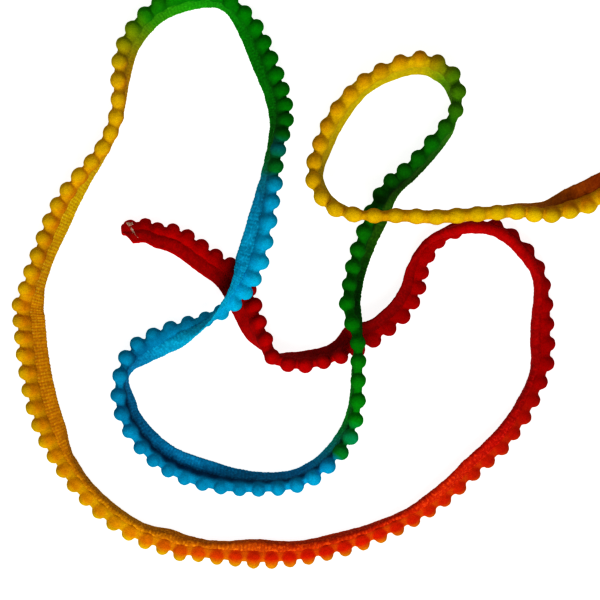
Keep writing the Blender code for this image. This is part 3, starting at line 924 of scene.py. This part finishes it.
def painted_shade_dye(dye_and_painted_shade, shade_reddening=1.0, tone=PAINTED_SHADE_TONE):
    """The colour as painted shade, where light would be lost between fibres: yellow turns
    amber, blue hardly turns.
    """
    strongest = max(dye_and_painted_shade[:3])
    power = PAINTED_SHADE_WARM * shade_reddening if dye_and_painted_shade[0] == strongest else PAINTED_SHADE_COOL
    painted_shade = [tone * part * (part / strongest) ** power for part in dye_and_painted_shade[:3]]
    return (*painted_shade, 1.0)


# ---- Meshes ----
def closed_piece(name, tubes):
    """One piece of tubes, each through rings of equal length and capped at both ends."""
    points, faces = [], []
    for rings in tubes:
        start = len(points)
        sides = len(rings[0])
        points.extend(point * MM for ring in rings for point in ring)
        for ring in range(len(rings) - 1):
            here = start + ring * sides
            there = here + sides
            for side in range(sides):
                beside = (side + 1) % sides
                faces.append((here + side, here + beside, there + beside, there + side))
        last = start + (len(rings) - 1) * sides
        faces.append(tuple(range(start + sides - 1, start - 1, -1)))
        faces.append(tuple(range(last, last + sides)))
    mesh = bpy.data.meshes.new(name)
    mesh.from_pydata(points, [], faces)
    mesh.polygons.foreach_set("use_smooth", [True] * len(mesh.polygons))
    mesh.update()
    piece = bpy.data.objects.new(name, mesh)
    bpy.context.scene.collection.objects.link(piece)
    return piece


def write_colours(piece, name, colours):
    """Stores a colour for each point of the mesh, where the material reads it."""
    layer = piece.data.color_attributes.new(name, "FLOAT_COLOR", "POINT")
    layer.data.foreach_set("color", [part for colour in colours for part in colour])


def write_numbers(piece, name, values):
    """The same for a number at each point."""
    layer = piece.data.attributes.new(name, "FLOAT", "POINT")
    layer.data.foreach_set("value", values)


def write_places(piece, name, places):
    """The same for three numbers at each point."""
    layer = piece.data.attributes.new(name, "FLOAT_VECTOR", "POINT")
    layer.data.foreach_set("vector", [part for place in places for part in place])


def tape_ring(step, pompom, rib):
    """One ring around the tape: each point with its crown and its place in the weave."""
    strengths, edge_shift, shown, pucker = rib
    along = (pompom - FIRST_SECTION) * POMPOM_PITCH
    upper, lower = [], []
    for column, (distance, on_rib, in_groove) in enumerate(TAPE_PROFILE):
        wave = RIB_WAVE[step % RIB_RINGS] * strengths[column] * shown
        half = in_groove + (on_rib - in_groove) * wave
        crown = wave * WALE_TOPS[WALES[column]]
        if distance == TAPE_END:
            distance += (wave - 0.5) * SCALLOP + edge_shift
        spot = Vector((along * PUCKER_ALONG, distance * PUCKER_ACROSS, PUCKER_SEED))
        uneven = noise.noise(spot) * pucker
        place = cut_back(pompom, distance)
        for side, points in ((1.0, upper), (-1.0, lower)):
            point = place_point(place, distance, uneven + side * half)
            points.append((point, crown, (along, distance, side)))
    return upper + lower[::-1]


def tape_piece():
    """The tape: ribs across it, and wales of stitches along it beside a raised rail."""
    chance = random.Random(TAPE_SEED)
    count = RIBS * RIB_RINGS
    rings, dyes, looks = [], [], []
    for step in range(count + 1):
        pompom = FIRST_SECTION + (LAST_SECTION - FIRST_SECTION) * step / count
        if step % RIB_RINGS == 0:
            strengths = [chance.uniform(*STITCHES) for place in TAPE_PROFILE]
            edge_shift = chance.uniform(-EDGE_SHIFT, EDGE_SHIFT)
            shown = between(RIB_STRENGTH, pompom)[0]
            pucker = between(PUCKERS, pompom)[0]
        ring = tape_ring(step, pompom, (strengths, edge_shift, shown, pucker))
        rings.append(ring)
        dyes.extend([dye_and_painted_shade_at(pompom, TAPE_DYE_AND_SHADE)] * len(ring))
        looks.extend([between(TAPE_PAINTED_LIGHT_AND_SHADE, pompom)] * len(ring))
    piece = closed_piece("tape_cloth", [[[spot[0] for spot in ring] for ring in rings]])
    # The tape's colours, with the table's painted shade and light, and their painted shade
    # copies
    write_colours(piece, "dye_and_painted_shade", dyes)
    write_colours(piece, "painted_shade_dye", [painted_shade_dye(dye_and_painted_shade) for dye_and_painted_shade in dyes])
    write_places(piece, "looks", looks)
    write_numbers(piece, "crown", [crown for ring in rings for point, crown, place in ring])
    write_places(piece, "weave", [place for ring in rings for point, crown, place in ring])
    return piece


def roll_outline(turn, notch, roll_height):
    """How far the velvet roll reaches from its heart in one direction."""
    height = roll_height * ROLL_SHARE
    if math.cos(turn) > 0:
        across = abs(math.cos(turn)) / ROLL_INNER
        up = abs(math.sin(turn)) / height
        return (across ** ROLL_FLATNESS + up ** ROLL_FLATNESS) ** (-1 / ROLL_FLATNESS)
    return 1 / math.hypot(math.cos(turn) / (HEART - notch), math.sin(turn) / height)


def neck_outline(turn, off_centre):
    """The same for the thicker pile behind one pompom, in the plane off its centre."""
    share = 1 - (off_centre / NECK_ALONG) ** 2
    if share <= 0:
        return 0.0
    wide = NECK_INNER if math.cos(turn) > 0 else NECK_OUTER
    return math.sqrt(share) / math.hypot(math.cos(turn) / wide, math.sin(turn) / NECK_HEIGHT)


def ball_outline(turn, off_centre, radius, reach):
    """How far the pompom's ball, its middle this far out, goes from the heart."""
    ring = radius ** 2 - off_centre ** 2
    inside = ring - (reach * math.sin(turn)) ** 2
    if ring <= 0 or inside <= 0:
        return 0.0
    return max(-reach * math.cos(turn) + math.sqrt(inside), 0.0)


def pile(point):
    """The surface of the pile, a little uneven."""
    roughs = [noise.noise_vector(point * fineness) * painted_shade_share for fineness, painted_shade_share in PILE_ROUGH]
    moved = point + sum(roughs, Vector((0.0, 0.0, 0.0)))
    moved.z = max(moved.z, 0.0)
    return moved


def pompom_form(chance, number):
    """How one pompom differs: radius, reach, length, shift across, lift and shade."""
    size, out, length = between(POMPOM_SIZES, number)
    radius = BALL_RADIUS * chance.uniform(*SIZES) * size
    nudge = chance.uniform(-STRAY, STRAY)
    lift = chance.uniform(-STRAY, STRAY)
    shade = chance.uniform(*SHADES)
    return radius, HEART + out, length, nudge, lift, shade


def edge_ring(number, share, form):
    """One ring of the velvet edge: points, colour, painted shade colour, and how much painted
    shade each point takes.
    """
    radius, reach, length, nudge, lift, shade = form
    pompom = number + share
    along = share * POMPOM_PITCH
    notch, roll_height = steady(NOTCH, pompom)
    starts, full, on_roll, on_ball, tone = between(PAINTED_SHADE_DEPTHS, pompom)
    points, painted_shade_shares = [], []
    for turn in EDGE_TURNS:
        roll = roll_outline(turn, notch, roll_height) ** BLEND
        neck = neck_outline(turn, along) ** BLEND
        ball = ball_outline(turn, along / length, radius, reach) ** BLEND
        weight = (ball + NECK_SHARE * neck) / (ball + neck + roll)
        from_heart = (ball + neck + roll) ** (1 / BLEND)
        distance = HEART + from_heart * math.cos(turn)
        up = from_heart * math.sin(turn)
        swept = place_point(pompom, distance, up)
        round_one = place_point(number, distance - nudge * weight, up + lift, along)
        points.append(pile(swept.lerp(round_one, weight)))
        # Painted shade: how much each point takes, by its place across and on the pompom
        inner = min(max((distance - starts) / (full - starts), 0.0), 1.0)
        on_pompom = min(weight / FULL_POMPOM, 1.0)
        painted_shade_shares.append(inner * (on_roll + (on_ball - on_roll) * on_pompom))
    dye_and_painted_shade = (*(part * shade for part in dye_and_painted_shade_at(pompom, VELVET_DYE_AND_SHADE)[:3]), 1.0)
    painted_shade = painted_shade_dye(dye_and_painted_shade, between(PAINTED_SHADE_REDDENING, pompom)[0], tone)
    return points, dye_and_painted_shade, painted_shade, painted_shade_shares


def rounded_ring(ring, bulge, share):
    """The next ring out at the cut end, shrunken so that the end is rounded."""
    middle = sum(ring, Vector((0.0, 0.0, 0.0))) / len(ring)
    outwards = -travel_at(FIRST_SECTION) * bulge
    return [middle + (point - middle) * share + outwards for point in ring]


def edge_piece():
    """The velvet edge: round pompoms that stand out of one continuous roll of pile."""
    chance = random.Random(VELVET_SEED)
    rings = []
    for number in range(POMPOMS):
        form = pompom_form(chance, number)
        rings.extend(edge_ring(number, share, form) for share in BALL_RINGS)
    for bulge, share in CUT_ROUNDING:
        points, *colours = rings[0]
        rings.insert(0, (rounded_ring(points, bulge, share), *colours))
    piece = closed_piece("pompom_velvet", [[points for points, dye_and_painted_shade, painted_shade, painted_shade_shares in rings]])
    spots = [(dye_and_painted_shade, painted_shade, painted_shade_share) for points, dye_and_painted_shade, painted_shade, painted_shade_shares in rings for painted_shade_share in painted_shade_shares]
    write_colours(piece, "dye_and_painted_shade", [spot[0] for spot in spots])
    write_colours(piece, "painted_shade_dye", [spot[1] for spot in spots])
    write_numbers(piece, "painted_shade", [spot[2] for spot in spots])
    return piece


def point_on(line, share):
    """A place along a line of points, in even steps from point to point."""
    place = share * (len(line) - 1)
    index = min(int(place), len(line) - 2)
    part = place - index
    return [a + (b - a) * part for a, b in zip(line[index], line[index + 1])]


def height_below(ground, spot):
    """How high the highest piece stands at one place, in millimetres."""
    highest = 0.0
    start = Vector((spot.x, spot.y, THREAD_DROP)) * MM
    for piece in ground:
        met, place, normal, face = piece.ray_cast(start, (0.0, 0.0, -1.0))
        if met:
            highest = max(highest, place.z / MM)
    return highest


def tube(path, thickness):
    """Rings of points around a path, thin at both ends."""
    rings = []
    for index, spot in enumerate(path):
        ahead = path[min(index + 1, len(path) - 1)] - path[max(index - 1, 0)]
        side = ahead.cross(Vector((0.0, 0.0, 1.0))).normalized()
        above = side.cross(ahead).normalized()
        radius = thickness * (THREAD_TIP if index in (0, len(path) - 1) else 1.0)
        rings.append([
            spot + (side * math.cos(turn) + above * math.sin(turn)) * radius
            for turn in THREAD_TURNS
        ])
    return rings


def threads_piece(ground):
    """The undyed threads that show where the trim was cut, lying on what is below."""
    chance = random.Random(THREAD_SEED)
    tubes = []
    travel = travel_at(0)
    middle = Vector((ROUTE[0][1] - MIDDLE_X, ROUTE[0][2] - MIDDLE_Y, 0.0))
    across = Vector((travel.y, -travel.x, 0.0))
    pace, waver = THREAD_WAVER
    for line, width, thickness in THREADS:
        for strand in range(STRANDS):
            shift = (strand - 1) * width + chance.uniform(-STRAND_STRAY, STRAND_STRAY)
            path = []
            for step in range(THREAD_STEPS + 1):
                along, out = point_on(line, step / THREAD_STEPS)
                spot = middle + travel * (along + shift) + across * out
                spot += noise.noise_vector(Vector((step * pace, strand, along))) * waver
                spot.z = height_below(ground, spot) + thickness * THREAD_REST
                path.append(spot)
            tubes.append(tube(path, thickness))
    return closed_piece("cut_end_threads", tubes)


# ---- Materials ----
class Nodes:
    """Short calls for building one material."""

    def __init__(self, name):
        self.material = bpy.data.materials.new(name)
        self.material.use_nodes = True
        self.tree = self.material.node_tree
        self.surface = self.tree.nodes["Principled BSDF"].inputs

    def add(self, kind, **settings):
        node = self.tree.nodes.new(kind)
        for key, value in settings.items():
            if key in node.bl_rna.properties:
                setattr(node, key, value)
            else:
                self.feed(node.inputs[key], value)
        return node

    def feed(self, socket, value):
        if isinstance(value, bpy.types.NodeSocket):
            self.tree.links.new(value, socket)
        else:
            socket.default_value = value

    def read(self, name, output):
        return self.add("ShaderNodeAttribute", attribute_name=name).outputs[output]

    def place(self):
        return self.add("ShaderNodeTexCoord").outputs["Object"]

    def split(self, vector):
        return self.add("ShaderNodeSeparateXYZ", Vector=vector).outputs

    def pattern(self, place, scale, detail):
        noisy = self.add("ShaderNodeTexNoise", Vector=place, Scale=scale, Detail=detail)
        return noisy.outputs["Fac"]

    def calculate(self, operation, first, second):
        node = self.add("ShaderNodeMath", operation=operation)
        self.feed(node.inputs[0], first)
        self.feed(node.inputs[1], second)
        return node.outputs[0]

    def times(self, first, second):
        return self.calculate("MULTIPLY", first, second)

    def plus(self, first, second):
        return self.calculate("ADD", first, second)

    def spread(self, value, low, high, to_low, to_high):
        node = self.add("ShaderNodeMapRange")
        for index, number in enumerate((value, low, high, to_low, to_high)):
            self.feed(node.inputs[index], number)
        return node.outputs[0]

    def mix(self, share, first, second, blend="MIX"):
        node = self.add("ShaderNodeMix", data_type="RGBA", blend_type=blend)
        self.feed(node.inputs[0], share)
        self.feed(node.inputs[6], first)
        self.feed(node.inputs[7], second)
        return node.outputs[2]

    def lit(self, colour, light):
        """The colour, brighter or darker by this much."""
        tone = self.add("ShaderNodeCombineColor", Red=light, Green=light, Blue=light)
        return self.mix(1.0, colour, tone.outputs[0], "MULTIPLY")

    def with_painted_shade(self, share):
        """The colour, turning into its painted shade by this share."""
        return self.mix(share, self.read("dye_and_painted_shade", "Color"), self.read("painted_shade_dye", "Color"))

    def finish(self, colour, rough, height, bump, specular):
        """Gives the surface its colour, roughness, fine bumps and shine."""
        distance, strength = bump
        bumps = self.add("ShaderNodeBump", Height=height, Distance=distance, Strength=strength)
        self.feed(self.surface["Base Color"], colour)
        self.feed(self.surface["Roughness"], rough)
        self.feed(self.surface["Normal"], bumps.outputs["Normal"])
        self.surface["Specular IOR Level"].default_value = specular

    def sheen(self, tint, weight, roughness):
        self.feed(self.surface["Sheen Tint"], tint)
        self.surface["Sheen Weight"].default_value = weight
        self.surface["Sheen Roughness"].default_value = roughness


def tape_material():
    """Knitted yarn, with painted highlight along the stitches and in small specks, painted
    shade between the stitches and beside the velvet, and a few painted glints.
    """
    make = Nodes("tape_yarn")
    crown = make.read("crown", "Fac")
    weave = make.read("weave", "Vector")
    fibre = make.pattern(weave, *YARN_FIBRES)
    painted_highlight_share, groove_painted_shade, valley_painted_shade = make.split(make.read("looks", "Vector"))
    valley = make.spread(make.split(weave)[1], *VALLEY)
    light = make.spread(fibre, *FIBRE_LIGHT)
    light = make.times(light, make.spread(make.pattern(weave, *YARN_BLOTCHES), *BLOTCH_LIGHT))
    # Painted shade on the tape beside the velvet
    light = make.times(light, make.spread(valley, 0.0, 1.0, valley_painted_shade, 1.0))
    # Painted highlight on the stitch crowns, and painted shade in the grooves between them
    light = make.times(light, make.spread(crown, *CROWN_LIGHT))
    painted_shade = make.times(make.spread(crown, *CROWN_PAINTED_SHADE), groove_painted_shade)
    colour = make.lit(make.with_painted_shade(painted_shade), light)
    # Painted highlight flecks: the colour made brighter and a little paler in small specks
    painted_highlight_mask = make.spread(make.pattern(weave, *YARN_HIGHLIGHT_FLECKS), *HIGHLIGHT_FLECK_SHARE)
    highlight_colour = make.mix(1.0, make.read("dye_and_painted_shade", "Color"), HIGHLIGHT_GAIN, "MULTIPLY")
    colour = make.mix(make.times(painted_highlight_mask, painted_highlight_share), colour, make.mix(HIGHLIGHT_PALE_SHARE, highlight_colour, PALE_HIGHLIGHT))
    # Painted glints on the highest stitches
    glint = make.times(make.spread(crown, *CROWN_GLINTS), fibre)
    colour = make.mix(glint, colour, PALE_HIGHLIGHT)
    fineness, unevenness = PLY
    ply = make.add("ShaderNodeTexWave", Vector=weave, Scale=fineness, Distortion=unevenness)
    height = make.plus(make.times(fibre, FIBRE_RELIEF), ply.outputs["Fac"])
    make.finish(colour, make.spread(fibre, *YARN_ROUGHNESS), height, YARN_BUMP, specular=0.16)
    # The sheen takes the colour, and is painted out beside the velvet
    make.sheen(make.mix(valley, BLACK, colour), weight=1.0, roughness=0.60)
    return make.material


def velvet_material():
    """Dense pile, with painted shade across it, mostly towards the tape, soft at its edges,
    flecked with lighter tips.
    """
    make = Nodes("pompom_pile")
    place = make.place()
    tips = make.pattern(place, *PILE_TIPS)
    tufts = make.pattern(place, *PILE_TUFTS)
    light = make.times(make.spread(tips, *TIP_LIGHT), make.spread(tufts, *TUFT_LIGHT))
    colour = make.lit(make.with_painted_shade(make.read("painted_shade", "Fac")), light)
    height = make.plus(tips, make.times(tufts, TUFT_RELIEF))
    make.finish(colour, make.spread(tips, *PILE_ROUGHNESS), height, PILE_BUMP, specular=0.12)
    make.sheen(colour, weight=0.18, roughness=0.35)
    return make.material


def thread_material():
    """Undyed yarn with a little of the red beside it."""
    make = Nodes("undyed_yarn")
    place = make.place()
    stain = make.spread(make.pattern(place, *THREAD_STAINS), *STAIN_SHARE)
    fibre = make.pattern(place, *THREAD_FIBRES)
    rough = make.spread(fibre, *THREAD_ROUGHNESS)
    make.finish(make.mix(stain, UNDYED, STAINED), rough, fibre, THREAD_BUMP, specular=0.25)
    return make.material


def dress(piece, material):
    """Gives a piece its material and its place in the frame."""
    piece.data.materials.append(material)
    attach(piece, "root")


# ---- Surroundings ----
def floor():
    """A plain pale surface, lit evenly."""
    half = FLOOR_HALF
    mesh = bpy.data.meshes.new("floor")
    corners = [(-half, -half, 0), (half, -half, 0), (half, half, 0), (-half, half, 0)]
    mesh.from_pydata(corners, [], [(0, 1, 2, 3)])
    surface = bpy.data.objects.new("floor", mesh)
    surface.location.z = -FLOOR_DROP
    bpy.context.scene.collection.objects.link(surface)
    make = Nodes("floor_white")
    make.surface["Base Color"].default_value = FLOOR_GREY
    make.surface["Roughness"].default_value = FLOOR_ROUGHNESS
    make.surface["Emission Color"].default_value = WHITE
    make.surface["Emission Strength"].default_value = FLOOR_GLOW
    mesh.materials.append(make.material)
    surface.visible_diffuse = False


def area_light(name, azimuth, elevation, distance, size, brightness):
    """A soft lamp that gives a facing white surface this brightness."""
    data = bpy.data.lights.new(name, "AREA")
    data.shape = "DISK"
    data.size = size
    data.energy = brightness * (math.pi * distance) ** 2
    lamp = bpy.data.objects.new(name, data)
    around = math.radians(azimuth)
    above = math.radians(elevation)
    away = Vector((
        math.sin(around) * math.cos(above),
        -math.cos(around) * math.cos(above),
        math.sin(above),
    ))
    lamp.location = away * distance
    lamp.rotation_euler = away.to_track_quat("Z", "Y").to_euler()
    lamp.visible_camera = False
    bpy.context.scene.collection.objects.link(lamp)


def camera():
    """Looks straight down from far off, with +Y up the picture."""
    data = bpy.data.cameras.new("camera")
    data.sensor_width = SENSOR
    data.lens = LENS
    data.clip_start = NEAREST
    data.clip_end = FARTHEST
    seen_from = bpy.data.objects.new("camera", data)
    height = PICTURE_WIDTH * LENS / SENSOR
    seen_from.location = (-MIDDLE_X * MM, -MIDDLE_Y * MM, height)
    bpy.context.scene.collection.objects.link(seen_from)
    bpy.context.scene.camera = seen_from


def studio():
    """Even white surroundings, and one broad lamp on the near side."""
    world = bpy.data.worlds.new("studio")
    world.use_nodes = True
    sky = world.node_tree.nodes["Background"]
    sky.inputs["Color"].default_value = WHITE
    sky.inputs["Strength"].default_value = SKY_STRENGTH
    bpy.context.scene.world = world
    area_light("key", azimuth=0.0, elevation=46.0, distance=2.5, size=1.6, brightness=0.66)
    view = bpy.context.scene.view_settings
    view.view_transform = "Standard"
    view.look = "None"
    view.use_curve_mapping = True
    tones = view.curve_mapping
    for scene_value, shown in TONES:
        tones.curves[3].points.new(scene_value, shown)
    tones.update()


def main():
    noise.seed_set(NOISE_SEED)
    camera()
    studio()
    floor()
    velvet = edge_piece()
    dress(velvet, velvet_material())
    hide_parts("pompom_edge")
    tape = tape_piece()
    dress(tape, tape_material())
    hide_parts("tape")
    bpy.context.view_layer.update()
    threads = threads_piece((velvet, tape))
    dress(threads, thread_material())


main()
